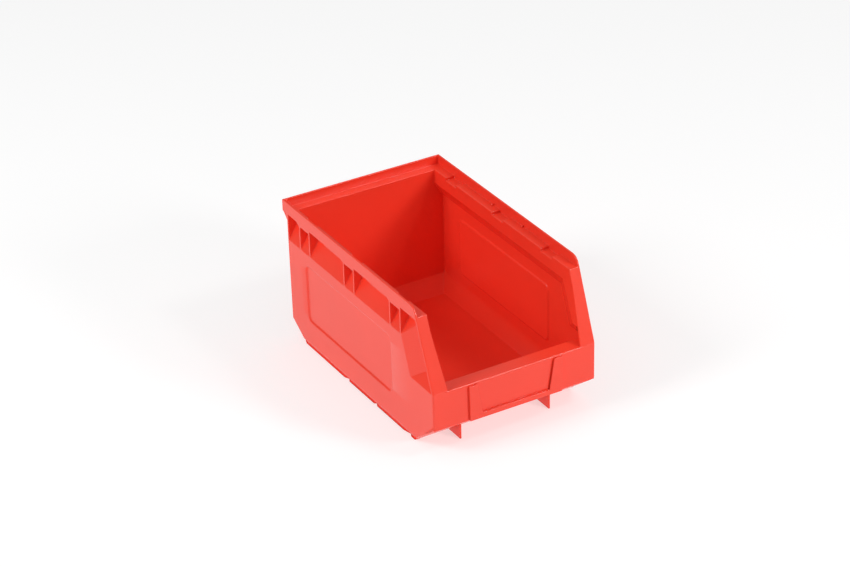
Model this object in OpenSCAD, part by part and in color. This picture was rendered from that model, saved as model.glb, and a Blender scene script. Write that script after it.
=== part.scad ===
// Stackable storage bin with an open hopper front, a stacking rim round three sides and
// toothed runners underneath.
// The real bin is one moulding. It is divided here along its own feature lines, and the
// pieces meet face to face. X is the width, the hopper front faces -Y, and Z is up from
// the surface that the runners rest on.

/* [Overall] */
// Width over the stacking rim
bin_w = 150; // [125:1:190]
// Length from the rear lip to the face of the front wall
bin_l = 240; // [200:1:300]
// Height from the runners to the top of the rim
bin_h = 125; // [105:1:160]
// Wall thickness
wall = 2; // [1.6:0.1:2.5]

/* [Stacking rim] */
// Width of the rim from its outer face to its inner edge
rim_w = 10; // [8:0.5:12]
// Thickness of the upstanding lip
lip_t = 1.6; // [1.2:0.1:2.2]
// Height of the lip above the channel floor
lip_rise = 8; // [6:0.5:10]
// Thickness of the channel floor
channel_t = 2.5; // [2:0.1:3]
// Radius of the lip's front top corner
lip_corner_r = 9; // [5:0.5:12]
// Distance that the rear lip overhangs the back wall
hang_reach = 7.5; // [6:0.5:10]
// Height of the small gussets under the ends of the rear lip
hang_gusset_h = 5.5; // [4:0.5:8]

/* [Shoulder and gussets] */
// Distance from the top of the bin down to the flat side wall
shoulder_drop = 34; // [30:1:42]
// Rise of the shoulder for each millimetre that it leans in
shoulder_slope = 1.7; // [1.3:0.1:1.9]
// Number of gusset pairs on each side
pair_count = 3; // [2:1:3]
// Place of the rearmost gusset pair's rear face, from the rear lip
pair_start = 28.1; // [20:0.5:40]
// Spacing of the gusset pairs
pair_pitch = 73.6; // [62:0.5:80]
// Distance over the two ribs of a pair
pair_w = 17.9; // [12:0.5:20]
// Thickness of a rib
rib_t = 1.8; // [1.2:0.1:2.4]
// Depth of the stacking notch over each gusset pair
notch_d = 2.5; // [1.5:0.1:3]
// Length of the ramp under the rear of each notch
notch_ramp = 4.5; // [2:0.5:7]

/* [Hopper front] */
// Height of the front wall
front_h = 58.5; // [45:0.5:70]
// Distance that the hopper edges lean back on their way to the top
lean = 25.8; // [15:0.2:40]
// Width of the hopper flange at its foot
flange_w = 13.7; // [12.5:0.1:17]
// Length of the recess behind the hopper flange
recess_l = 34.3; // [34:0.1:42]
// Run of the recess's rear face for each millimetre of depth
recess_flare = 2.5; // [1.5:0.1:2.6]
// Rise of the recess's foot for each millimetre of depth
recess_foot = 1.4; // [1:0.1:1.6]
// Width of the lip along the top of the front wall
front_lip_w = 13.3; // [6:0.1:16]

/* [Base] */
// Height of the runners
runner_h = 3.5; // [2.5:0.1:5]
// Thickness of a runner
runner_t = 2; // [1.5:0.1:3]
// Distance that a runner's foot stands further out than its root
runner_splay = 1.5; // [0:0.1:2]
// Clearance between a stacked bin's runner and the inside of the lip
stack_gap = 0.4; // [0.2:0.1:1]
// Height of the bottom edge of the front wall
front_low = 25.5; // [18:0.5:32]
// Length of the slope under the front wall
front_run = 29; // [20:0.5:40]
// Height of the bottom edge of the back wall
rear_low = 15; // [10:0.5:22]
// Length of the slope under the back wall
rear_run = 18; // [10:0.5:25]
// Places of the runner's tooth faces, from the rear lip
tooth_faces = [100.6, 146.2, 200.5];
// Lengths of the ramps that lead up to the tooth faces
tooth_ramps = [8, 5.2, 11.5];
// Height of a tooth face
tooth_h = 2.9; // [1.5:0.1:3]
// Distance between the two front feet
foot_gap = 82.8; // [50:0.1:100]
// Distance from the front wall's face back to a foot's front edge
foot_inset = 15.8; // [8:0.2:20]
// Length of a foot behind the end of the front slope
foot_tail = 10; // [2:0.5:20]

/* [Side panel] */
// Depth of the panel pressed into each side wall
panel_d = 0.6; // [0.3:0.1:1]
// Distance from the rear lip to the panel
panel_start = 37; // [30:1:60]
// Length of the panel
panel_l = 138; // [90:1:142]
// Height of the panel's bottom edge
panel_low = 28; // [24:1:35]
// Height of the panel
panel_h = 52; // [30:1:56]
// Corner radius of the panel
panel_r = 5; // [3:0.5:8]

/* [Label holder] */
// Distance that the label holder stands proud of the front wall
label_d = 2; // [1.6:0.1:3]
// Width over the label rails at their foot
label_w = 85; // [60:1:92]
// Height of the label rails
label_h = 31.5; // [20:0.5:32]
// Width of a label rail at its top
rail_top_w = 7.8; // [6:0.1:9]
// Width of a label rail at its foot
rail_foot_w = 11.8; // [9.5:0.1:14]
// Height of the ledge between the rails
ledge_h = 4.6; // [3:0.1:6]
// Thickness of the slot behind the rails' inner edges
slot_t = 1; // [0.6:0.1:1.2]
// Depth of the slot behind the rails' inner edges, at the top
slot_d = 2.5; // [1.5:0.1:3.5]

/* [Stacking pips] */
// Diameter of a pip in the channel
pip_d = 2.4; // [1.6:0.1:3]
// Height of a pip above the channel floor
pip_h = 1.5; // [0.8:0.1:2.5]
// Distance that a stacked bin sits behind the one below, with its teeth against the pips
stack_shift = 8.4; // [6:0.1:10]

/* [Hidden] */
half_w = bin_w / 2;
y_rear = (bin_l + label_d) / 2;
y_front = y_rear - bin_l;
y_back = y_rear - hang_reach;
y_back_in = y_back - wall;
z_channel = bin_h - lip_rise;
z_under = z_channel - channel_t;
z_panel = bin_h - shoulder_drop;
shoulder_in = rim_w - wall;
z_shoulder = z_panel + shoulder_in * shoulder_slope;
lean_rate = lean / (bin_h - front_h);
// Depth of the recess's inner face at its foot, and how fast it comes out going up
recess_in = flange_w - wall;
recess_rate = (flange_w - rim_w) / (z_shoulder - front_h);
// Place along the recess's foot where it meets the inner face
foot_rise = recess_in / (1 / recess_foot + recess_rate);
z_foot = front_h + foot_rise;
foot_in = foot_rise / recess_foot;
lean_angle = atan2(lean, bin_h - front_h);
red = [0.93, 0.27, 0.18];
over = 1;

// Y of the hopper's slanted front plane at height z
function y_slant(z) = y_front + (z - front_h) * lean_rate;
// Y of the recess's rear edge, on the outer face, at height z
function y_step(z) = y_slant(z) + recess_l;
// Z of the underside of the front and rear slopes at y
function z_front_slope(y) = runner_h + (front_low - runner_h) * (y_front + front_run - y) / front_run;
function z_rear_slope(y) = runner_h + (rear_low - runner_h) * (y - y_back + rear_run) / rear_run;
// Rear face of gusset pair i
function pair_y(i) = y_rear - pair_start - i * pair_pitch;

// Extrudes a (y, z) outline from x0 to x1
module plate_x(x0, x1, outline) {
  translate([x0, 0, 0]) rotate([90, 0, 90]) linear_extrude(x1 - x0) polygon(outline);
}

// Extrudes an (x, z) outline from y0 to y1
module plate_y(y0, y1, outline) {
  translate([0, y1, 0]) rotate([90, 0, 0]) linear_extrude(y1 - y0) polygon(outline);
}

// A plate of wall thickness in x. Each corner is [y, z, distance in from the outer face],
// and the corners lie in one plane, counter-clockwise in (y, z).
module leaning_plate(corners) {
  n = len(corners);
  outer = [for (c = corners) [half_w - c[2], c[0], c[1]]];
  inner = [for (c = corners) [half_w - c[2] - wall, c[0], c[1]]];
  sides = [for (i = [0:n - 1]) [i, (i + 1) % n, n + (i + 1) % n, n + i]];
  polyhedron(
    concat(outer, inner),
    concat([[for (i = [n - 1:-1:0]) i]], [[for (i = [n:2 * n - 1]) i]], sides));
}

module on_left() {
  mirror([1, 0, 0]) children();
}

module floor_panel() {
  color(red)
    translate([wall - half_w, y_front + front_run, runner_h])
      cube([bin_w - 2 * wall, y_back - rear_run - y_front - front_run, wall]);
}

module front_slope() {
  y0 = y_front + wall;
  y1 = y_front + front_run;
  color(red)
    plate_x(wall - half_w, half_w - wall, [
      [y0, z_front_slope(y0)], [y1, runner_h], [y1, runner_h + wall], [y0, z_front_slope(y0) + wall * 1.25]]);
}

module rear_slope() {
  y0 = y_back - rear_run;
  color(red)
    plate_x(wall - half_w, half_w - wall, [
      [y0, runner_h], [y_back_in, z_rear_slope(y_back_in)],
      [y_back_in, z_rear_slope(y_back_in) + wall * 1.2], [y0, runner_h + wall]]);
}

module back_wall() {
  color(red)
    plate_x(-half_w, half_w, [
      [y_back_in, z_rear_slope(y_back_in)], [y_back, rear_low], [y_back, z_under], [y_back_in, z_under]]);
}

module front_wall() {
  color(red)
    plate_x(-half_w, half_w, [
      [y_front, front_low], [y_front + wall, z_front_slope(y_front + wall)],
      [y_front + wall, front_h], [y_front, front_h]]);
}

module front_lip() {
  color(red)
    translate([wall - half_w, y_front + wall, front_h - wall])
      cube([bin_w - 2 * wall, front_lip_w - wall, wall]);
}

// Outline of the pressed panel, grown by g
function panel_outline(g) = let (
    r = panel_r + g,
    y0 = y_rear - panel_start - panel_l - g, y1 = y_rear - panel_start + g,
    z0 = panel_low - g, z1 = panel_low + panel_h + g)
  [for (c = [[y1 - r, z1 - r, 0], [y0 + r, z1 - r, 90], [y0 + r, z0 + r, 180], [y1 - r, z0 + r, 270]])
    for (a = [0:15:90]) [c[0] + r * cos(c[2] + a), c[1] + r * sin(c[2] + a)]];

module right_side_wall() {
  y0 = y_front + wall;
  color(red)
    difference() {
      union() {
        plate_x(half_w - wall, half_w, [
          [y0, z_front_slope(y0)], [y_front + front_run, runner_h], [y_back - rear_run, runner_h],
          [y_back_in, z_rear_slope(y_back_in)], [y_back_in, z_panel], [y_step(z_panel), z_panel],
          [y_step(front_h), front_h], [y0, front_h]]);
        plate_x(half_w - wall - panel_d, half_w - wall / 2, panel_outline(0));
      }
      plate_x(half_w - panel_d, half_w + over, panel_outline(0));
    }
}

module left_side_wall() {
  on_left() right_side_wall();
}

module right_shoulder() {
  color(red)
    leaning_plate([
      [y_back_in, z_panel, 0], [y_back_in, z_shoulder, shoulder_in],
      [y_step(z_shoulder) - shoulder_in * recess_flare, z_shoulder, shoulder_in],
      [y_step(z_panel), z_panel, 0]]);
}

module left_shoulder() {
  on_left() right_shoulder();
}

// The three leaning faces round the recess behind the flange: its rear face, its foot and
// its inner face
module right_hopper_cheek() {
  rear_low_corner = [y_step(front_h), front_h, 0];
  rear_top_corner = [y_step(z_panel), z_panel, 0];
  deep_low = [y_step(z_foot) - foot_in * recess_flare, z_foot, foot_in];
  deep_top = [y_step(z_shoulder) - shoulder_in * recess_flare, z_shoulder, shoulder_in];
  front_foot = [y_slant(front_h) + wall, front_h, 0];
  front_deep_low = [y_slant(z_foot) + wall, z_foot, foot_in];
  front_deep_top = [y_slant(z_shoulder) + wall, z_shoulder, shoulder_in];
  color(red)
    union() {
      leaning_plate([rear_low_corner, rear_top_corner, deep_top, deep_low]);
      leaning_plate([rear_low_corner, deep_low, front_deep_low, front_foot]);
      leaning_plate([deep_low, deep_top, front_deep_top, front_deep_low]);
    }
}

module left_hopper_cheek() {
  on_left() right_hopper_cheek();
}

// A plate between the slanted front plane and one wall thickness behind it
module right_hopper_flange() {
  color(red)
    intersection() {
      plate_x(half_w - flange_w, half_w, [
        [y_slant(front_h), front_h], [y_slant(front_h) + wall, front_h],
        [y_slant(z_channel) + wall, z_channel], [y_slant(z_channel), z_channel]]);
      plate_y(y_front - over, y_rear, [
        [half_w - flange_w, front_h], [half_w, front_h], [half_w, z_channel],
        [half_w - rim_w, z_channel], [half_w - rim_w, z_shoulder]]);
    }
}

module left_hopper_flange() {
  on_left() right_hopper_flange();
}

// Side outline of the lip above the channel floor, with its rounded front corner
function lip_outline() = let (
    r = lip_corner_r,
    corner = y_slant(bin_h),
    tangent = r * tan((90 - lean_angle) / 2),
    centre = [corner + tangent, bin_h - r])
  concat(
    [[y_slant(z_channel), z_channel], [y_back_in, z_channel], [y_back_in, bin_h]],
    [for (a = [90:7.5:180 - lean_angle]) [centre[0] + r * cos(a), centre[1] + r * sin(a)]],
    [[centre[0] - r * cos(lean_angle), centre[1] + r * sin(lean_angle)]]);

module right_rim() {
  color(red)
    difference() {
      union() {
        plate_x(half_w - rim_w, half_w - rim_w + wall, [
          [y_slant(z_shoulder) + wall, z_shoulder], [y_back_in, z_shoulder],
          [y_back_in, z_channel], [y_slant(z_channel) + wall, z_channel]]);
        plate_x(half_w - rim_w + wall, half_w, [
          [y_slant(z_under) + wall, z_under], [y_back_in, z_under],
          [y_back_in, z_channel], [y_slant(z_channel) + wall, z_channel]]);
        plate_x(half_w - lip_t, half_w, lip_outline());
        for (i = [0:pair_count - 1])
          plate_x(half_w - rim_w + wall, half_w, [
            [pair_y(i) - pair_w, z_under], [pair_y(i) - pair_w, z_under - notch_d],
            [pair_y(i), z_under - notch_d], [pair_y(i) + notch_ramp, z_under]]);
      }
      for (i = [0:pair_count - 1])
        translate([half_w - rim_w - over, pair_y(i) - pair_w + rib_t, z_channel - notch_d])
          cube([rim_w - lip_t + over, pair_w - rib_t, notch_d + over]);
    }
}

module left_rim() {
  on_left() right_rim();
}

// Channel floor and lip across the back, with the ends of the side lips
module rear_rim() {
  color(red)
    difference() {
      translate([-half_w, y_back_in, z_under]) cube([bin_w, y_rear - y_back_in, bin_h - z_under]);
      translate([lip_t - half_w, y_back_in - over, z_channel])
        cube([bin_w - 2 * lip_t, y_rear - y_back_in - lip_t + over, lip_rise + over]);
    }
}

module rear_lip_gussets() {
  color(red)
    for (x = [-half_w, half_w - rib_t])
      plate_x(x, x + rib_t, [
        [y_back, z_under - hang_gusset_h], [y_rear - lip_t, z_under], [y_back, z_under]]);
}

module right_gussets() {
  z_top = z_under - notch_d;
  color(red)
    for (i = [0:pair_count - 1])
      for (y = [pair_y(i) - rib_t, pair_y(i) - pair_w])
        plate_y(y, y + rib_t, [
          [half_w, z_panel], [half_w, z_top], [half_w - shoulder_in, z_top], [half_w - shoulder_in, z_shoulder]]);
}

module left_gussets() {
  on_left() right_gussets();
}

// Runner along the side, with a ramp up to each tooth face and its ends on the two slopes
module right_runner() {
  slope_rate = (front_low - runner_h) / front_run;
  x1 = half_w - lip_t - stack_gap;
  teeth = [for (i = [0:len(tooth_faces) - 1]) let (y = y_rear - tooth_faces[i])
    each [[y + tooth_ramps[i], 0], [y, tooth_h], [y, 0]]];
  color(red)
    intersection() {
      plate_x(x1 - runner_t - runner_splay, x1, concat(
        [[y_back - rear_run, runner_h], [y_back - rear_run - runner_h / 2, 0]],
        teeth,
        [[y_front + front_run + runner_h / slope_rate, 0], [y_front + front_run, runner_h]]));
      plate_y(y_front, y_rear, [
        [x1 - runner_t, 0], [x1, 0], [x1 - runner_splay, runner_h], [x1 - runner_splay - runner_t, runner_h]]);
    }
}

module left_runner() {
  on_left() right_runner();
}

module right_front_foot() {
  y0 = y_front + foot_inset;
  y1 = y_front + front_run;
  color(red)
    plate_x(foot_gap / 2 - rib_t / 2, foot_gap / 2 + rib_t / 2, [
      [y0, 0], [y1 + foot_tail, 0], [y1 + foot_tail, runner_h], [y1, runner_h], [y0, z_front_slope(y0)]]);
}

module left_front_foot() {
  on_left() right_front_foot();
}

// Rail that widens towards its foot, with a straight slot behind it for a label card
module right_label_rail() {
  x1 = label_w / 2;
  x_top = x1 + 0.6;
  x_slot = x_top - rail_top_w + slot_d;
  z0 = front_low;
  z1 = front_low + label_h;
  color(red)
    difference() {
      plate_y(y_front - label_d, y_front, [
        [x1 - rail_foot_w, z0], [x1, z0], [x_top, z1], [x_top - rail_top_w, z1],
        [x1 - rail_foot_w, z0 + ledge_h]]);
      plate_y(y_front - slot_t, y_front + over, [
        [x1 - rail_foot_w - over, z0 + ledge_h], [x_slot, z0 + ledge_h],
        [x_slot, z1 + over], [x1 - rail_foot_w - over, z1 + over]]);
    }
}

module left_label_rail() {
  on_left() right_label_rail();
}

module label_ledge() {
  inner = label_w / 2 - rail_foot_w;
  color(red)
    translate([-inner, y_front - label_d, front_low]) cube([2 * inner, label_d, ledge_h]);
}

// Pips beside the lip, where the first two tooth faces of a stacked bin come against them
module stacking_pips() {
  color(red)
    for (side = [-1, 1])
      for (i = [0:1])
        translate([
          side * (half_w - lip_t - pip_d / 2), y_rear - tooth_faces[i] + stack_shift + pip_d / 2, z_channel])
          cylinder(h = pip_h, d = pip_d, $fn = 32);
}

floor_panel();
front_slope();
rear_slope();
back_wall();
front_wall();
front_lip();
left_side_wall();
right_side_wall();
left_shoulder();
right_shoulder();
left_hopper_cheek();
right_hopper_cheek();
left_hopper_flange();
right_hopper_flange();
left_rim();
right_rim();
rear_rim();
rear_lip_gussets();
left_gussets();
right_gussets();
left_runner();
right_runner();
left_front_foot();
right_front_foot();
left_label_rail();
right_label_rail();
label_ledge();
stacking_pips();
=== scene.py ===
"""Stackable storage bin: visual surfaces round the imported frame."""

import math

import bpy
import numpy as np
from bpy.props import FloatProperty, FloatVectorProperty, PointerProperty
from mathutils import Matrix, Vector


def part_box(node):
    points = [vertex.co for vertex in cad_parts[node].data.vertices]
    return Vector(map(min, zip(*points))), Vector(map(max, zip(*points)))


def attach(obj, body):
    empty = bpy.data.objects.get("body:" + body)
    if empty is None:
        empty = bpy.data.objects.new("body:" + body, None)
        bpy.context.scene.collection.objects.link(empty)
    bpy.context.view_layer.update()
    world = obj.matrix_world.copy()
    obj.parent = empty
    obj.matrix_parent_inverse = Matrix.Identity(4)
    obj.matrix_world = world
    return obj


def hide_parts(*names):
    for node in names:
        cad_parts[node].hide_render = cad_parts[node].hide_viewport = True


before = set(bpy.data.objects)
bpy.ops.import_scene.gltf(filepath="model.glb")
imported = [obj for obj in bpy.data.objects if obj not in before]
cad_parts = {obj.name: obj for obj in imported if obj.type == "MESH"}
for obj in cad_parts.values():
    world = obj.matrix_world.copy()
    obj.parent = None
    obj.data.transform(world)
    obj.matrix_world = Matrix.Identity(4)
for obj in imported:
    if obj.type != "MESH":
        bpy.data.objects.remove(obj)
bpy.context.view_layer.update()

bl_info = {
    "name": "Stackable storage bin",
    "version": (1, 0, 0),
    "blender": (4, 5, 0),
    "location": "3D View > Sidebar > Bin",
    "description": "Builds a moulded storage bin with its rim, runners and label holder",
    "category": "Mesh",
}

MM = 0.001


def corner(node, which):
    """Lowest (0) or highest (1) corner of a node's box, in millimetres."""
    return np.array(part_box(node)[which]) / MM


# Sizes that the frame already fixes, in millimetres
HALF = corner("rear_rim", 1)[0]
REAR = corner("rear_rim", 1)[1]
TOP = corner("rear_rim", 1)[2]
UNDER = corner("rear_rim", 0)[2]
BACK_IN = corner("back_wall", 0)[1]
BACK = corner("back_wall", 1)[1]
FRONT = corner("front_wall", 0)[1]
WALL = corner("front_wall", 1)[1] - FRONT
FRONT_TOP = corner("front_wall", 1)[2]
FRONT_LOW = corner("label_ledge", 0)[2]
CHANNEL = corner("right_hopper_flange", 1)[2]
BAND_LOW = corner("right_shoulder", 0)[2]
BAND_TOP = corner("right_shoulder", 1)[2]
RIM_IN = HALF - corner("right_rim", 0)[0]
FLOOR_LOW = corner("floor_panel", 0)[2]
FLOOR_FRONT = corner("floor_panel", 0)[1]
FLOOR_REAR = corner("floor_panel", 1)[1]
LIP_IN = corner("front_lip", 1)[1]
FLANGE_W = HALF - corner("right_hopper_flange", 0)[0]

# Sizes that only the surface needs, in millimetres
REAR_LOW = 15  # height at which the rear slope meets the back wall
PANEL_START = 37  # rear lip to the pressed panel
PANEL_LENGTH = 138
PANEL_LOW, PANEL_HIGH = 28.0, 80.0
PANEL_CORNER = 5.0
PANEL_STEP = 1.8  # width of the step round the panel
PANEL_REAR = REAR - PANEL_START
PANEL_FRONT = PANEL_REAR - PANEL_LENGTH
FRONT_RISE = (FRONT_LOW - FLOOR_LOW) / (FLOOR_FRONT - FRONT)
REAR_RISE = (REAR_LOW - FLOOR_LOW) / (BACK - FLOOR_REAR)
STEP_RUN = 2.5  # how far the recess's rear plane runs for each millimetre of depth
FOOT_RUN = 1.4  # the same for its bottom plane
SHOULDER_RUN = 1.7  # the same for the shoulder
FLAT = 0.01  # places closer than this count as one


class BinSizes(bpy.types.PropertyGroup):
    lip: FloatProperty(
        name="Lip", description="Thickness of the upstanding lip", default=1.6 * MM, unit="LENGTH")
    lean: FloatProperty(
        name="Lean", description="How far the hopper edges lean back",
        default=25.8 * MM, unit="LENGTH")
    recess: FloatProperty(
        name="Recess", description="Length of the recess behind each flange",
        default=34.3 * MM, unit="LENGTH")
    cove: FloatProperty(
        name="Cove", description="Width of the slope between side wall and floor",
        default=10.5 * MM, unit="LENGTH")
    foot_round: FloatProperty(
        name="Bottom edge", description="Radius along the outer bottom edge",
        default=2.4 * MM, unit="LENGTH")
    edge: FloatProperty(
        name="Edge", description="Radius of an ordinary edge", default=0.45 * MM, unit="LENGTH")
    front_edge: FloatProperty(
        name="Front edge", description="Radius of the front upright edges",
        default=1.5 * MM, unit="LENGTH")
    draft: FloatProperty(
        name="Draft", description="How far the side walls lean in towards the floor",
        default=0.5 * MM, unit="LENGTH")
    pair_start: FloatProperty(
        name="First gussets", description="Rear lip to the rearmost gusset",
        default=28.1 * MM, unit="LENGTH")
    pair_pitch: FloatProperty(
        name="Gusset pitch", description="Spacing of the gusset pairs",
        default=73.6 * MM, unit="LENGTH")
    pair_width: FloatProperty(
        name="Gusset pair", description="Width over a gusset pair",
        default=17.9 * MM, unit="LENGTH")
    rib: FloatProperty(
        name="Rib", description="Thickness of a gusset", default=1.8 * MM, unit="LENGTH")
    notch: FloatProperty(
        name="Notch", description="Depth of the stacking notches", default=2.5 * MM, unit="LENGTH")
    notch_ramp: FloatProperty(
        name="Notch ramp", description="Length of the ramp behind a notch",
        default=4.5 * MM, unit="LENGTH")
    panel_depth: FloatProperty(
        name="Panel", description="Depth of the pressed side panel",
        default=1.2 * MM, unit="LENGTH")


class BinColours(bpy.types.PropertyGroup):
    plastic: FloatVectorProperty(
        name="Plastic", description="Colour of the moulding", subtype="COLOR", size=4,
        min=0, max=1, default=(0.92, 0.056, 0.028, 1))
    backdrop: FloatVectorProperty(
        name="Floor", description="Colour of the floor", subtype="COLOR", size=4,
        min=0, max=1, default=(0.5, 0.5, 0.5, 1))


def put_mesh(name, points, faces, material=None):
    """A mesh object from an (n, 3) array of points in millimetres and lists of faces."""
    mesh = bpy.data.meshes.new(name)
    mesh.from_pydata((np.asarray(points) * MM).tolist(), [], faces)
    mesh.validate()
    mesh.update()
    piece = bpy.data.objects.new(name, mesh)
    bpy.context.scene.collection.objects.link(piece)
    if material:
        mesh.materials.append(material)
    return piece


def block_skin(points, filled):
    """The skin of the filled cells of a warped block grid.

    points is (I, J, K, 3): where each grid node lies. filled is (I-1, J-1, K-1). A face is drawn
    between each filled cell and an empty one or the outside, wound so that it faces the empty side.
    Nodes at one place are merged, and faces that fold up to nothing are dropped."""
    shape = points.shape[:3]
    number = np.arange(np.prod(shape)).reshape(shape)
    padded = np.pad(filled, 1)
    quads = []
    for axis in range(3):
        lower = np.moveaxis(padded, axis, 0)
        n = np.moveaxis(number, axis, 0)
        lower = lower[:, 1:-1, 1:-1]
        near, far = lower[:-1], lower[1:]
        a, b, c, d = n[:, :-1, :-1], n[:, 1:, :-1], n[:, 1:, 1:], n[:, :-1, 1:]
        loop = np.stack([a, b, c, d], -1)
        if axis == 1:
            loop = loop[..., ::-1]
        quads.append(loop[near & ~far][:, ::-1])
        quads.append(loop[far & ~near])
    quads = np.concatenate(quads)
    flat = points.reshape(-1, 3)
    _, first, back = np.unique(np.round(flat, 4), axis=0, return_index=True, return_inverse=True)
    quads = back.reshape(-1)[quads]
    spots = flat[first]
    used, quads = np.unique(quads, return_inverse=True)
    quads = quads.reshape(-1, 4)
    spots = spots[used]
    same = quads == np.roll(quads, -1, 1)
    count = 4 - same.sum(1)
    crossed = (quads[:, 0] == quads[:, 2]) | (quads[:, 1] == quads[:, 3])
    whole = quads[(count == 4) & ~crossed]
    folded = quads[(count == 3) & ~crossed]
    keep = ~(folded == np.roll(folded, -1, 1))
    triangles = folded[keep].reshape(-1, 3)
    return spots, whole.tolist() + triangles.tolist()


def arc_map(a, b):
    """Maps the square [0, 1] x [0, 1] onto a quarter disc.

    (a, b) goes to (a sqrt(1 - b^2/2), b sqrt(1 - a^2/2))."""
    return a * np.sqrt(1 - b * b / 2), b * np.sqrt(1 - a * a / 2)


def tub_lines(s):
    """The y places of the block grid's lines behind the hopper: one list for the flat walls, which
    follows the pressed panel's ends, and one for the rim, which follows the gussets."""
    pairs = [REAR - (s.pair_start + i * s.pair_pitch) / MM for i in range(3)][::-1]
    width, rib, ramp = s.pair_width / MM, s.rib / MM, s.notch_ramp / MM
    rim = []
    for i, y in enumerate(pairs):
        rim += [y - width, y - width + rib, y - rib, y, y + ramp]
        if i < 2:
            rim += list(np.linspace(y + ramp, pairs[i + 1] - width, 11)[1:-1])
    rim += [103.0 / 111.5 * BACK_IN, BACK_IN]
    front_end = np.linspace(PANEL_FRONT - 1, PANEL_FRONT + 5.5, 14)
    rear_end = np.linspace(PANEL_REAR - 5.5, PANEL_REAR + 1, 14)
    middle = np.linspace(front_end[-1], rear_end[0], 9)[1:-1]
    wall = np.concatenate([front_end, middle, rear_end, [FLOOR_REAR - 1, FLOOR_REAR, BACK_IN]])
    rim = np.array(rim)
    while len(rim) > len(wall):
        middle = np.linspace(front_end[-1], rear_end[0], len(middle) + 3)[1:-1]
        wall = np.concatenate([front_end, middle, rear_end, [FLOOR_REAR - 1, FLOOR_REAR, BACK_IN]])
    while len(wall) > len(rim):
        rim = np.insert(rim, -1, (rim[-2] + rim[-1]) / 2)
    return wall, rim, pairs


def panel_press(y, z, depth):
    """How far the side wall is pressed in at (y, z).

    A smooth step, t^2 (3 - 2 t), across the outline of a rectangle with round corners, where t
    comes from the signed distance to that outline."""
    y0, y1, z0, z1, r = PANEL_FRONT, PANEL_REAR, PANEL_LOW, PANEL_HIGH, PANEL_CORNER
    dy = np.abs(y - (y0 + y1) / 2) - (y1 - y0) / 2 + r
    dz = np.abs(z - (z0 + z1) / 2) - (z1 - z0) / 2 + r
    outside = np.hypot(np.maximum(dy, 0), np.maximum(dz, 0)) + np.minimum(np.maximum(dy, dz), 0) - r
    t = np.clip(0.5 - outside / PANEL_STEP, 0, 1)
    return depth * t * t * (3 - 2 * t)


def end_lift(y):
    """How far the end slopes have risen above the floor at y."""
    front = np.maximum(FLOOR_FRONT - y, 0) * FRONT_RISE
    return front + np.clip(y - FLOOR_REAR, 0, BACK - FLOOR_REAR) * REAR_RISE


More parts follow.
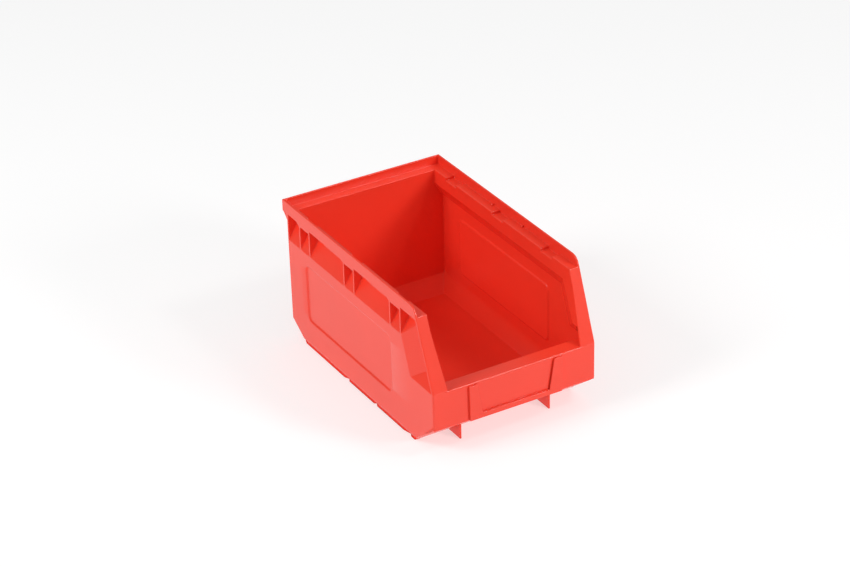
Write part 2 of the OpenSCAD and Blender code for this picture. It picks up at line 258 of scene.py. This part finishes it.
def tub_blocks(s):
    """The right half of the tub as a warped block grid, and which of its cells are plastic.

    Lines i run in from the side, lines j from the hopper front to the rear lip, and lines k up. The
    side wall's depth is the deepest of the shoulder and the least of the recess's three planes."""
    wall_y, rim_y, pairs = tub_lines(s)
    n_front = 6
    ny = n_front + len(wall_y) + 3
    heights = [0, 1, 2, 3, 4.5, 6.5, 9, 12]
    flat = [19, 22.5, 25] + list(np.linspace(26.5, 34, 16)) + [44, 52]
    low_z = FRONT_TOP - WALL
    upper = [FRONT_TOP, 66, 73.2] + list(np.linspace(74.5, 81.5, 15)) + [86]
    rim_z = [
        BAND_LOW, (BAND_LOW + BAND_TOP) / 2, BAND_TOP, UNDER - 5.5, UNDER - s.notch / MM, UNDER,
        CHANNEL, CHANNEL + 2, CHANNEL + 4, CHANNEL + 6, TOP]
    nominal = np.array([FLOOR_LOW + h for h in heights] + flat + [low_z] + upper + rim_z)
    nz = len(nominal)
    k_floor, k_low = 2, len(heights) + len(flat)
    k_top = k_low + 1
    k_band = k_top + len(upper)
    k_gusset, k_notch, k_under, k_channel = (k_band + i for i in (3, 4, 5, 6))

    z = np.broadcast_to(nominal, (ny, nz)).copy()
    lean = s.lean / MM / (TOP - FRONT_TOP)
    level = nominal.copy()
    level[k_notch] = level[k_under]
    slant = FRONT + np.maximum(level - FRONT_TOP, 0) * lean
    recess = s.recess / MM
    inner = FLANGE_W - WALL - (FLANGE_W - RIM_IN) / (BAND_TOP - FRONT_TOP) * (level - FRONT_TOP)
    inner = np.minimum(FLANGE_W - WALL, np.maximum(inner, RIM_IN - WALL))
    foot = np.clip((level - FRONT_TOP) / FOOT_RUN, 0, None)
    crease = np.where(
        level <= FRONT_TOP, recess - 2.8, recess - STEP_RUN * np.minimum(foot, inner))
    crease[k_top] = recess
    shoulder = np.maximum((level - BAND_LOW) / SHOULDER_RUN, 0)
    step = recess - STEP_RUN * np.minimum(shoulder, RIM_IN - WALL)
    step = np.where(level > BAND_TOP + 0.1, step + 0.12 * (level - BAND_TOP), step)
    low = nominal <= FRONT_TOP + 0.01
    lip_line = LIP_IN - FRONT
    slope_line = FLOOR_FRONT - FRONT
    y = np.zeros((ny, nz))
    y[0] = slant
    y[1] = slant + WALL
    y[2] = slant + np.where(low, lip_line, WALL + (crease - WALL) * 0.3)
    y[3] = slant + np.where(low, slope_line, WALL + (crease - WALL) * 0.65)
    y[4] = slant + crease
    y[5] = slant + step
    blend = np.clip((nominal - 82) / (BAND_LOW - 82), 0, 1)
    y[n_front:n_front + len(wall_y)] = wall_y[:, None] * (1 - blend) + rim_y[:, None] * blend
    y[-3], y[-2], y[-1] = BACK, REAR - s.lip / MM, REAR
    y[:-3] = np.maximum.accumulate(y[:-3], 0)

    lift = end_lift(y)
    thick = np.where(y < FLOOR_FRONT - FLAT, math.hypot(1, FRONT_RISE), 1)
    thick = np.where(y > FLOOR_REAR + FLAT, math.hypot(1, REAR_RISE), thick)
    for k, h in enumerate(heights):
        z[:, k] = FLOOR_LOW + lift[:, k] + (h if h > 2 else h * thick[:, k])
    k_mid = len(heights)
    share = (nominal[k_mid:k_low + 1] - nominal[k_mid - 1]) / (low_z - nominal[k_mid - 1])
    z[:, k_mid:k_low + 1] = z[:, k_mid - 1:k_mid] * (1 - share) + low_z * share
    # The notch line drops below the channel only at a gusset pair, and ramps back up behind it
    at_pair = np.zeros(ny, bool)
    for p in pairs:
        at_pair |= (y[:, k_notch] > p - s.pair_width / MM - 0.05) & (y[:, k_notch] < p + 0.05)
    z[:, k_notch] = np.where(at_pair, UNDER - s.notch / MM, UNDER)
    z[-2:, k_gusset] = UNDER
    z[-2:, k_notch] = UNDER

    deep = np.minimum(shoulder, RIM_IN - WALL)
    c = y - slant
    face = np.clip((recess - c) / STEP_RUN, 0, None)
    pocket = np.minimum(np.minimum(face, foot), inner)
    depth = np.where(nominal >= FRONT_TOP - 0.01, np.maximum(deep, pocket), 0)
    depth[0] = depth[1]
    depth = np.where(nominal > BAND_TOP - 0.01, RIM_IN - WALL, depth)
    depth[-3:] = np.where(nominal >= BAND_TOP, RIM_IN - WALL, 0)
    drawn = s.draft / MM * np.clip((BAND_LOW - z) / (BAND_LOW - FLOOR_LOW), 0, 1)
    press = panel_press(y, z, s.panel_depth / MM)
    outer = depth + drawn + press
    across = np.array([3, 4.5, 6.5, 9, 12, 30, 52, HALF])
    nx = 5 + len(across)
    d = np.zeros((nx, ny, nz))
    d[0] = drawn
    d[1] = np.minimum(drawn + s.lip / MM, outer)
    d[2] = outer
    d[3] = outer + WALL / 2
    d[4] = outer + WALL
    d[5:] = across[:, None, None] + drawn * (across[:, None, None] < HALF - 1)
    d[0] = np.minimum(d[0] + press * (depth < FLAT), d[2])
    # The flange's inner edge, and the lines behind it
    flange = np.minimum(FLANGE_W, np.maximum(inner + WALL, RIM_IN)) + drawn[1]
    for j in (0, 1):
        d[5, j, k_top:] = flange[k_top:]
    # On the front face the lines stand clear of the rounded upright edge
    for i in (1, 2, 3, 4):
        d[i, 0, :k_channel] = drawn[0, :k_channel] + 2.2 + 1.6 * (i - 1)
        d[i, 0, k_channel:] = np.maximum(d[i, 0, k_channel:], d[i - 1, 0, k_channel:])
    d = np.maximum.accumulate(d, 0)
    for i in range(6, nx - 3):
        d[i, :, k_top:] = np.maximum(d[i, :, k_top:], d[i - 1, :, k_top:] + 1.5)
    yy = np.broadcast_to(y, d.shape).copy()
    zz = np.broadcast_to(z, d.shape).copy()

    # Rounded bottom edge outside, and the cove inside
    r = s.foot_round / MM
    base = z[:, 0]
    side_d, under_d = d[2].copy(), d[2, :, 0].copy()
    for k in range(0, 4):
        b = 1 - np.clip((z[:, k] - base) / r, 0, 1)
        a, b = arc_map(np.ones_like(b), b)
        for i in (0, 1, 2):
            d[i, 1:, k] = (side_d[:, k] + r * (1 - a))[1:]
            zz[i, 1:, k] = (base + r * (1 - b))[1:]
    for i in range(3, 6):
        a = 1 - np.clip((d[i, :, 0] - under_d) / r, 0, 1)
        a, b = arc_map(a, np.ones_like(a))
        d[i, 1:, 0] = (under_d + r * (1 - a))[1:]
        zz[i, 1:, 0] = (base + r * (1 - b))[1:]
    # The cove is a slope of its own, depth = reach u^1.25 and height = 1.05 reach (1 - u) for u
    # down it, which shrinks over the end slopes so that the two meet in a mitre
    floor = z[:, k_floor].copy()
    scale = np.clip(1 - lift[:, k_floor] / 11.5, 0.1, 1)
    reach = s.cove / MM * scale
    inside = d[4].copy()
    corner_d = inside[:, k_floor].copy()
    for k in range(k_floor, 8):
        u = 0.5 - 0.5 * (heights[k] - heights[k_floor]) / (heights[7] - heights[k_floor])
        d[4, 1:, k] = (inside[:, k] + reach * u ** 1.25)[1:]
        zz[4, 1:, k] = (floor + reach * 1.05 * (1 - u))[1:]
    for i in range(5, 10):
        u = 0.5 + 0.5 * (across[i - 5] - WALL) / (across[4] - WALL)
        d[i, 1:, k_floor] = (corner_d + reach * u ** 1.25)[1:]
        zz[i, 1:, k_floor] = (floor + reach * 1.05 * (1 - u))[1:]
    # Rounded front corner of the lip
    rc, rz = 6.5, 6.0
    for i in (0, 1, 2):
        ks = slice(k_channel + 1, nz)
        a = 1 - np.clip(c[:, ks] / rc, 0, 1)
        b = np.clip((nominal[ks] - (TOP - rz)) / rz, 0, 1) * np.ones_like(a)
        near = (a > 0) & (b > 0)
        a2, b2 = arc_map(a, b)
        new_z = TOP - rz + rz * b2
        new_c = rc * (1 - a2)
        yy[i][:, ks] = np.where(near, FRONT + (new_z - FRONT_TOP) * lean + new_c, yy[i][:, ks])
        zz[i][:, ks] = np.where(near, new_z, zz[i][:, ks])

    filled = np.zeros((nx - 1, ny - 1, nz - 1), bool)
    j_back = ny - 4
    filled[2:4, 0:j_back, 0:k_channel] = True
    filled[2:, 0:j_back, 0:k_floor] = True
    filled[:, 0, 0:k_top] = True
    filled[:5, 0, k_top:k_channel] = True
    filled[2:, 1, k_low:k_top] = True
    filled[:, j_back, 0:k_under] = True
    filled[0:4, 1:j_back, k_under:k_channel] = True
    filled[0, 0:, k_channel:] = True
    filled[:, j_back:, k_under:k_channel] = True
    filled[:, ny - 2, k_under:] = True
    filled[0, j_back + 1, k_gusset:k_under] = True
    for p in pairs:
        js = np.nonzero((rim_y > p - s.pair_width / MM - 0.05) & (rim_y < p + 0.05))[0] + n_front
        first, last = js[0], js[-1]
        filled[0:4, first:last + 1, k_notch:k_under] = True
        filled[0:2, first, k_band:k_notch] = True
        filled[0:2, last - 1, k_band:k_notch] = True
        filled[1:4, first + 1:last, k_under:k_channel] = False
    x = HALF - d
    return np.stack([x, yy, zz], -1), filled


def edge_angles(mesh):
    """For each edge: the angle between its two faces, and its middle, as arrays."""
    n_loop, n_face, n_edge = len(mesh.loops), len(mesh.polygons), len(mesh.edges)
    loop_edge = np.zeros(n_loop, np.int64)
    mesh.loops.foreach_get("edge_index", loop_edge)
    totals = np.zeros(n_face, np.int64)
    mesh.polygons.foreach_get("loop_total", totals)
    normals = np.zeros(n_face * 3)
    mesh.polygons.foreach_get("normal", normals)
    normals = normals.reshape(-1, 3)
    face_of = np.repeat(np.arange(n_face), totals)
    order = np.argsort(loop_edge, kind="stable")
    edges, first, count = np.unique(loop_edge[order], return_index=True, return_counts=True)
    f0 = face_of[order[first]]
    f1 = face_of[order[np.minimum(first + 1, n_loop - 1)]]
    angle = np.zeros(n_edge)
    dots = np.clip((normals[f0] * normals[f1]).sum(1), -1, 1)
    angle[edges] = np.where(count == 2, np.degrees(np.arccos(dots)), 180)
    ends = np.zeros(n_edge * 2, np.int64)
    mesh.edges.foreach_get("vertices", ends)
    co = np.zeros(len(mesh.vertices) * 3)
    mesh.vertices.foreach_get("co", co)
    co = co.reshape(-1, 3)[ends.reshape(-1, 2)] / MM
    return angle, co[:, 0], co[:, 1]


def soften(piece, radius, segments=3, extra=None, least=24):
    """Rounds every edge sharper than least degrees.

    extra(angle, start, end, size) may return other radii, in millimetres, with 0 for none."""
    mesh = piece.data
    angle, a, b = edge_angles(mesh)
    size = np.where(angle > least, radius / MM, 0.0)
    if extra:
        size = extra(angle, a, b, size)
    widest = max(float(size.max()), 1e-6)
    weights = mesh.attributes.new("bevel_weight_edge", "FLOAT", "EDGE")
    weights.data.foreach_set("value", (size / widest).astype(np.float32))
    mesh.shade_smooth()
    bevel = piece.modifiers.new("Soft edges", "BEVEL")
    bevel.width = widest * MM
    bevel.segments = segments
    bevel.limit_method = "WEIGHT"
    bevel.use_clamp_overlap = False
    bevel.harden_normals = True
    bevel.miter_outer = "MITER_SHARP"


def tub_edges(angle, a, b, size):
    """Edge radii of the tub: full on the front upright edges, larger on the front lip and in the
    inner corners, small where a thin edge leaves little room."""
    s = bpy.context.scene.bin_sizes
    mid = (a + b) / 2
    x, y, z = np.abs(mid[:, 0]), mid[:, 1], mid[:, 2]
    along = np.abs(b - a) / (np.linalg.norm(b - a, axis=1, keepdims=True) + 1e-9)
    on_panel = (x > HALF - 6) & (z > PANEL_LOW - 2) & (z < PANEL_HIGH + 2) & (angle < 60)
    on_panel &= (y > PANEL_FRONT - 3) & (y < PANEL_REAR + 3)
    height = z - FLOOR_LOW - end_lift(y)
    on_round = (height < 15) & (along[:, 0] < 0.7) & (angle < 40) & (x > HALF - 14)
    on_round &= ~((x > HALF - 14.5) & (x < HALF - 12) & (height > 1.5) & (height < 2.6) & (z > 5))
    on_corner = (z > TOP - 7) & (along[:, 0] > 0.9) & (y < FRONT + 40) & (angle < 40)
    sharp = (angle > 11) & ~on_panel & ~on_round & ~on_corner
    size = np.where(sharp, s.edge / MM, 0)
    slant = FRONT + np.maximum(z - FRONT_TOP, 0) * 0.388
    at_front = np.abs(y - slant) < 0.15
    rising = along[:, 2] > 0.7
    front_edge = sharp & at_front & rising & (x > HALF - 2.2) & (z < CHANNEL)
    size = np.where(front_edge, s.front_edge / MM, size)
    behind = sharp & (np.abs(y - slant - WALL) < 0.15) & rising & (x > HALF - 2.2) & (z < CHANNEL)
    size = np.where(behind, 0.12, size)
    inner = sharp & at_front & rising & (x < HALF - 5) & (z < CHANNEL)
    size = np.where(inner, np.where(z < FRONT_TOP + 4, 0.25, 0.7), size)
    front_lip = sharp & at_front & (along[:, 0] > 0.9) & (np.abs(z - FRONT_TOP) < 0.2)
    size = np.where(front_lip, 1.1, size)
    lip = z > CHANNEL + 0.3
    size = np.where(sharp & lip, np.minimum(size, 0.6), size)
    crowded = (z > UNDER - 3) & (z < CHANNEL + 0.2) & (y < slant + 7) & (x > HALF - FLANGE_W)
    size = np.where(sharp & crowded, np.minimum(size, 0.25), size)
    tight = (np.abs(z - FRONT_TOP) < 3) & (y > FRONT + 0.5) & (y < FRONT + 5)
    tight &= x > HALF - FLANGE_W - 1
    size = np.where(sharp & tight, np.minimum(size, 0.2), size)
    channel = sharp & ~crowded & (np.abs(x - HALF + RIM_IN) < 0.2)
    channel &= (z > UNDER - 0.2) & (z < CHANNEL + 0.2)
    size = np.where(channel & (angle < 100), 0.8, size)
    return size


def mirror_half(points, faces):
    """Adds the mirror image of a half that reaches x = 0, merging the nodes on that plane."""
    n = len(points)
    middle = np.abs(points[:, 0]) < 1e-5
    faces = [face for face in faces if not middle[face].all()]
    other = points * [-1, 1, 1]
    both = np.concatenate([points, other])
    index = np.arange(2 * n)
    index[n:][middle] = index[:n][middle]
    flipped = [[int(index[n + v]) for v in face[::-1]] for face in faces]
    return both, faces + flipped


def show(piece, material, nodes):
    """Gives a piece its finish and lets it stand for its nodes."""
    if not piece.data.materials:
        piece.data.materials.append(material)
    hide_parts(*nodes)
    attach(piece, "root")


def plastic_finish():
    """Moulded polypropylene: one strong colour with slight cloudiness, a fine satin grain, and
    light passing a little way into the wall."""
    material = bpy.data.materials.get("red_polypropylene")
    if material:
        return material
    colours = bpy.context.scene.bin_colours
    material = bpy.data.materials.new("red_polypropylene")
    material.use_nodes = True
    nodes, links = material.node_tree.nodes, material.node_tree.links
    nodes.clear()
    out = nodes.new("ShaderNodeOutputMaterial")
    shader = nodes.new("ShaderNodeBsdfPrincipled")
    shader.inputs["IOR"].default_value = 1.44
    shader.inputs["Subsurface Weight"].default_value = 0.1
    shader.inputs["Subsurface Scale"].default_value = 0.002
    shader.inputs["Subsurface Radius"].default_value = (1.0, 0.25, 0.12)
    place = nodes.new("ShaderNodeTexCoord")
    cloud = nodes.new("ShaderNodeTexNoise")
    cloud.inputs["Scale"].default_value = 14
    cloud.inputs["Detail"].default_value = 3
    links.new(place.outputs["Object"], cloud.inputs["Vector"])
    mix = nodes.new("ShaderNodeMix")
    mix.data_type = "RGBA"
    base = np.array(colours.plastic[:])
    mix.inputs[6].default_value = (*(base[:3] * 0.95), 1)
    mix.inputs[7].default_value = (*np.minimum(base[:3] * 1.06, 1), 1)
    links.new(cloud.outputs["Fac"], mix.inputs[0])
    links.new(mix.outputs[2], shader.inputs["Base Color"])
    rough = nodes.new("ShaderNodeMapRange")
    rough.inputs["To Min"].default_value = 0.2
    rough.inputs["To Max"].default_value = 0.28
    links.new(cloud.outputs["Fac"], rough.inputs["Value"])
    links.new(rough.outputs["Result"], shader.inputs["Roughness"])
    grain = nodes.new("ShaderNodeTexNoise")
    grain.inputs["Scale"].default_value = 1400
    grain.inputs["Detail"].default_value = 2
    links.new(place.outputs["Object"], grain.inputs["Vector"])
    bump = nodes.new("ShaderNodeBump")
    bump.inputs["Strength"].default_value = 0.12
    bump.inputs["Distance"].default_value = 0.00005
    links.new(grain.outputs["Fac"], bump.inputs["Height"])
    links.new(bump.outputs["Normal"], shader.inputs["Normal"])
    links.new(shader.outputs["BSDF"], out.inputs["Surface"])
    return material


class BIN_OT_tub(bpy.types.Operator):
    """Builds the tub: floor, slopes, walls, shoulders, recesses, flanges, rim, lips and gussets"""
    bl_idname = "storage_bin.tub"
    bl_label = "Tub"

    def execute(self, context):
        points, filled = tub_blocks(context.scene.bin_sizes)
        points, faces = mirror_half(*block_skin(points, filled))
        tub = put_mesh("tub", points, faces)
        soften(tub, context.scene.bin_sizes.edge, 3, tub_edges)
        show(tub, plastic_finish(), [
            "floor_panel", "front_slope", "rear_slope", "back_wall", "front_wall", "front_lip",
            "left_side_wall", "right_side_wall", "left_shoulder", "right_shoulder",
            "left_hopper_cheek", "right_hopper_cheek", "left_hopper_flange", "right_hopper_flange",
            "left_rim", "right_rim", "rear_rim", "rear_lip_gussets",
            "left_gussets", "right_gussets"])
        return {"FINISHED"}


def ring_tube(rings):
    """Closed surface through an (n, m, 3) stack of rings, with a flat face at each end."""
    n, m = rings.shape[:2]
    index = np.arange(n * m).reshape(n, m)
    near, far = index[:-1], index[1:]
    quads = np.stack([near, np.roll(near, -1, 1), np.roll(far, -1, 1), far], -1).reshape(-1, 4)
    return rings.reshape(-1, 3), quads.tolist() + [index[0][::-1].tolist(), index[-1].tolist()]


def runner_rings():
    """The right runner: its section carried along y, squeezed up to the runner's lower outline.

    The section's outer side is a hollow curve, x = x_root + flare (1 - t)^2.2 for t up the side,
    over a thin foot; z = low(y) + (height - low(y)) t, where low(y) is the outline with its three
    teeth."""
    x_out = corner("right_runner", 1)[0]
    top = corner("right_runner", 1)[2]
    y0, y1 = corner("right_runner", 0)[1], corner("right_runner", 1)[1]
    teeth = [(100.6, 8.0), (146.2, 5.2), (200.5, 11.5)]
    line = [(y1, top - 0.05), (y1 - top / 2, 0)]
    for face, ramp in teeth:
        y = REAR - face
        line += [
            (y + ramp, 0), (y + 0.25, 2.7), (y + 0.02, 2.9), (y, 2.6), (y - 0.05, 0.35),
            (y - 0.4, 0)]
    toe = FLOOR_FRONT + top * 1.318
    line += [(toe + 0.6, 0), (toe - 0.4, 0.5), (y0, top - 0.05)]
    line = np.array(line)
    t = np.linspace(0, 1, 9)
    flare = 2.1 * (1 - t) ** 2.2
    outer = np.stack([x_out - 2.1 + flare, 0.55 + (top - 0.55) * t], 1)
    foot = np.array([[x_out - 2.3, 0], [x_out - 0.45, 0], [x_out - 0.1, 0.12], [x_out, 0.32]])
    root = np.array([
        [x_out - 2.1, top + 0.8], [x_out - 4.2, top + 0.8], [x_out - 4.1, top - 0.4],
        [x_out - 2.9, 0.9]])
    section = np.concatenate([foot, outer, root])
    low = line[:, 1][:, None]
    share = np.clip(section[:, 1] / top, 0, None)[None, :]
    z = np.where(share <= 1, low + (top - low) * share, section[None, :, 1])
    x = np.broadcast_to(section[None, :, 0], z.shape)
    y = np.broadcast_to(line[:, 0][:, None], z.shape)
    return np.stack([x, y, z], -1)


def foot_rings():
    """The right front foot: its outline set in by r(1 - sin a) at depth r(1 - cos a) on both faces,
    so that every edge of the thin plate is rounded, and tapered to be thinner at the bottom."""
    low, high = corner("right_front_foot", 0), corner("right_front_foot", 1)
    root = corner("right_runner", 1)[2]
    outline = np.array([
        [low[1], 0.0], [high[1], 0.0], [high[1], root + 0.6], [FLOOR_FRONT, root + 0.6],
        [low[1], root + 0.6 + (FLOOR_FRONT - low[1]) * FRONT_RISE]])
    ahead = np.roll(outline, -1, 0) - outline
    ahead /= np.linalg.norm(ahead, axis=1, keepdims=True)
    normal = np.stack([-ahead[:, 1], ahead[:, 0]], 1)
    miter = normal + np.roll(normal, 1, 0)
    miter /= (miter * normal).sum(1, keepdims=True)
    a = np.radians([0, 30, 60, 90])
    r = 0.4
    inset = np.concatenate([r * (1 - np.sin(a)), r * (1 - np.sin(a[::-1]))])
    thick = high[0] - low[0]
    depth = np.concatenate([r * (1 - np.cos(a)), thick - r * (1 - np.cos(a[::-1]))])
    yz = outline[None] + inset[:, None, None] * miter[None]
    across = np.broadcast_to(depth[:, None], yz.shape[:2])
    taper = 0.86 + 0.14 * np.clip(yz[..., 1] / 6, 0, 1)
    x = (low[0] + high[0]) / 2 + (across - thick / 2) * taper
    return np.stack([x, yz[..., 0], yz[..., 1]], -1)


def holder_blocks():
    """The right half of the label holder, as a warped block grid.

    A rail that widens to its foot, the slot behind the rail's inner edge, and the ledge."""
    low, high = corner("right_label_rail", 0), corner("right_label_rail", 1)
    ledge_top = corner("label_ledge", 1)[2]
    inner_foot = corner("label_ledge", 1)[0]
    heights = np.array([low[2], ledge_top, high[2]])
    share = (heights - low[2]) / (high[2] - low[2])
    out = high[0] - 0.6 + 0.6 * share
    inner = np.array([inner_foot, inner_foot, high[0] - 7.8])
    slot = np.array([high[0] - 7.8 + 2.5] * 3)
    x = np.stack([out, slot, inner, np.zeros(3)])
    y = np.array([low[1], low[1] + 1.0, high[1] + 0.6])
    points = np.zeros((4, 3, 3, 3))
    points[..., 0] = x[:, None, :]
    points[..., 1] = y[None, :, None]
    points[..., 2] = heights
    filled = np.zeros((3, 2, 2), bool)
    filled[0] = True
    filled[1, 0, :] = True
    filled[1:, :, 0] = True
    return points, filled


def pip_rings(x, y, radius, height):
    """A small round pip, a half ellipse turned about its axis: r = R sqrt(1 - u^2), z = h u."""
    u = np.sin(np.linspace(0, 0.47 * math.pi, 8))
    r = np.concatenate([[radius, radius], radius * np.sqrt(1 - u * u)[1:]])
    z = CHANNEL + np.concatenate([[-0.4, height * 0.35], height * (0.35 + 0.65 * u)[1:]])
    turn = np.linspace(0, 2 * math.pi, 25)[:-1]
    return np.stack([
        x + r[:, None] * np.cos(turn), y + r[:, None] * np.sin(turn),
        np.broadcast_to(z[:, None], (len(z), 24))], -1)


def join(parts):
    """One set of points and faces from several."""
    points, faces, n = [], [], 0
    for some, more in parts:
        points.append(some)
        faces += [[v + n for v in face] for face in more]
        n += len(some)
    return np.concatenate(points), faces


class BIN_OT_runners(bpy.types.Operator):
    """Builds the two runners with their hollow sides and stacking teeth"""
    bl_idname = "storage_bin.runners"
    bl_label = "Runners"

    def execute(self, context):
        points, faces = ring_tube(runner_rings())
        for side, name in ((1, "right_runner"), (-1, "left_runner")):
            turned = faces if side > 0 else [face[::-1] for face in faces]
            piece = put_mesh(name + "_moulded", points * [side, 1, 1], turned)
            soften(piece, 0.2 * MM, 2, least=30)
            show(piece, plastic_finish(), [name])
        return {"FINISHED"}


class BIN_OT_feet(bpy.types.Operator):
    """Builds the two thin plates that carry the bin's front"""
    bl_idname = "storage_bin.feet"
    bl_label = "Front feet"

    def execute(self, context):
        points, faces = ring_tube(foot_rings())
        for side, name in ((1, "right_front_foot"), (-1, "left_front_foot")):
            turned = faces if side > 0 else [face[::-1] for face in faces]
            piece = put_mesh(name + "_moulded", points * [side, 1, 1], turned)
            soften(piece, 0.1 * MM, 2, least=60)
            show(piece, plastic_finish(), [name])
        return {"FINISHED"}


class BIN_OT_holder(bpy.types.Operator):
    """Builds the label holder: two rails and the ledge between them"""
    bl_idname = "storage_bin.holder"
    bl_label = "Label holder"

    def execute(self, context):
        points, faces = mirror_half(*block_skin(*holder_blocks()))
        piece = put_mesh("label_holder", points, faces)
        soften(piece, 0.4 * MM, 3, least=20)
        show(piece, plastic_finish(), ["left_label_rail", "right_label_rail", "label_ledge"])
        return {"FINISHED"}


class BIN_OT_pips(bpy.types.Operator):
    """Builds the small domed pips in the rim's channel"""
    bl_idname = "storage_bin.pips"
    bl_label = "Stacking pips"

    def execute(self, context):
        low, high = corner("stacking_pips", 0), corner("stacking_pips", 1)
        radius = 1.2
        parts = [
            ring_tube(pip_rings(x, y, radius, high[2] - CHANNEL))
            for x in (low[0] + radius, high[0] - radius)
            for y in (low[1] + radius, high[1] - radius)]
        piece = put_mesh("pips", *join(parts))
        piece.data.shade_smooth()
        show(piece, plastic_finish(), ["stacking_pips"])
        return {"FINISHED"}


class BIN_OT_stage(bpy.types.Operator):
    """Places the floor, the soft lights and the camera"""
    bl_idname = "storage_bin.stage"
    bl_label = "Floor, lights and camera"

    def execute(self, context):
        scene = context.scene
        colours = scene.bin_colours
        far = 6000
        floor = put_mesh(
            "floor", [[-far, -far, 0], [far, -far, 0], [far, far, 0], [-far, far, 0]],
            [[0, 1, 2, 3]])
        material = bpy.data.materials.new("pale_floor")
        material.use_nodes = True
        shader = material.node_tree.nodes["Principled BSDF"]
        shader.inputs["Base Color"].default_value = colours.backdrop[:]
        shader.inputs["Roughness"].default_value = 0.8
        shader.inputs["Emission Color"].default_value = (1, 1, 1, 1)
        shader.inputs["Emission Strength"].default_value = 0.56
        floor.data.materials.append(material)
        scene.world = self.surround()
        scene.view_settings.view_transform = "Standard"
        self.lamp("left_soft", (-1.6, 0.15, 1.3), 0.7, 16.5)
        self.lamp("front_soft", (0.95, -1.8, 0.95), 0.45, 16)
        self.lamp("edge_glow", (0.75, -0.95, 1.5), 0.3, 4.5)
        self.camera(scene)
        return {"FINISHED"}

    def surround(self):
        """White surroundings that are dimmest level with the bin and brightest overhead."""
        world = bpy.data.worlds.new("soft_white")
        world.use_nodes = True
        nodes, links = world.node_tree.nodes, world.node_tree.links
        place = nodes.new("ShaderNodeTexCoord")
        split = nodes.new("ShaderNodeSeparateXYZ")
        links.new(place.outputs["Generated"], split.inputs[0])
        ramp = nodes.new("ShaderNodeMapRange")
        ramp.interpolation_type = "SMOOTHSTEP"
        ramp.inputs["From Min"].default_value = 0.15
        ramp.inputs["From Max"].default_value = 0.9
        ramp.inputs["To Min"].default_value = 0.2
        ramp.inputs["To Max"].default_value = 0.55
        links.new(split.outputs["Z"], ramp.inputs["Value"])
        links.new(ramp.outputs["Result"], nodes["Background"].inputs["Strength"])
        nodes["Background"].inputs["Color"].default_value = (1, 1, 1, 1)
        return world

    def lamp(self, name, place, size, watts):
        """A square soft light at place, turned to the bin."""
        data = bpy.data.lights.new(name, "AREA")
        data.shape = "SQUARE"
        data.size = size
        data.energy = watts
        lamp = bpy.data.objects.new(name, data)
        lamp.location = place
        aim = np.array([0, 0, 0.05]) - np.array(place)
        lamp.rotation_euler = direction(aim)
        bpy.context.scene.collection.objects.link(lamp)

    def camera(self, scene):
        """A long lens from the left front, looking a little down and rolled very slightly."""
        data = bpy.data.cameras.new("camera")
        data.lens = 121.2
        data.sensor_width = 36
        data.clip_end = 50
        camera = bpy.data.objects.new("camera", data)
        azimuth, height, roll = (math.radians(v) for v in (-29.7, 29.2, -1.7))
        reach = 2.3551
        target = np.array([0.0091, 0.0351, 0.060])
        away = np.array([
            math.sin(azimuth) * math.cos(height), -math.cos(azimuth) * math.cos(height),
            math.sin(height)])
        camera.location = target + reach * away
        camera.rotation_euler = direction(-away, roll)
        scene.collection.objects.link(camera)
        scene.camera = camera


def direction(aim, roll=0.0):
    """The turn that points a lamp or camera along aim, with its top upwards and then rolled."""
    forward = Vector(aim).normalized()
    right = forward.cross(Vector((0, 0, 1))).normalized()
    up = right.cross(forward)
    turned_right = right * math.cos(roll) + up * math.sin(roll)
    turned_up = up * math.cos(roll) - right * math.sin(roll)
    return Matrix((turned_right, turned_up, -forward)).transposed().to_euler()


class BIN_PT_panel(bpy.types.Panel):
    """Sizes, colours and pieces of the bin"""
    bl_idname = "BIN_PT_panel"
    bl_label = "Storage bin"
    bl_space_type = "VIEW_3D"
    bl_region_type = "UI"
    bl_category = "Bin"

    def draw(self, context):
        for group in (context.scene.bin_sizes, context.scene.bin_colours):
            for name in group.bl_rna.properties.keys():
                if name not in ("rna_type", "name"):
                    self.layout.prop(group, name)
        for step in STEPS:
            self.layout.operator(step)


STEPS = ("storage_bin.tub", "storage_bin.runners", "storage_bin.feet", "storage_bin.holder",
         "storage_bin.pips", "storage_bin.stage")
CLASSES = (BinSizes, BinColours, BIN_OT_tub, BIN_OT_runners, BIN_OT_feet, BIN_OT_holder,
           BIN_OT_pips, BIN_OT_stage, BIN_PT_panel)


def register():
    for cls in CLASSES:
        bpy.utils.register_class(cls)
    bpy.types.Scene.bin_sizes = PointerProperty(type=BinSizes)
    bpy.types.Scene.bin_colours = PointerProperty(type=BinColours)


def unregister():
    del bpy.types.Scene.bin_colours
    del bpy.types.Scene.bin_sizes
    for cls in reversed(CLASSES):
        bpy.utils.unregister_class(cls)


def main():
    register()
    for step in STEPS:
        group, name = step.split(".")
        getattr(getattr(bpy.ops, group), name)()


if __name__ == "__main__":
    main()
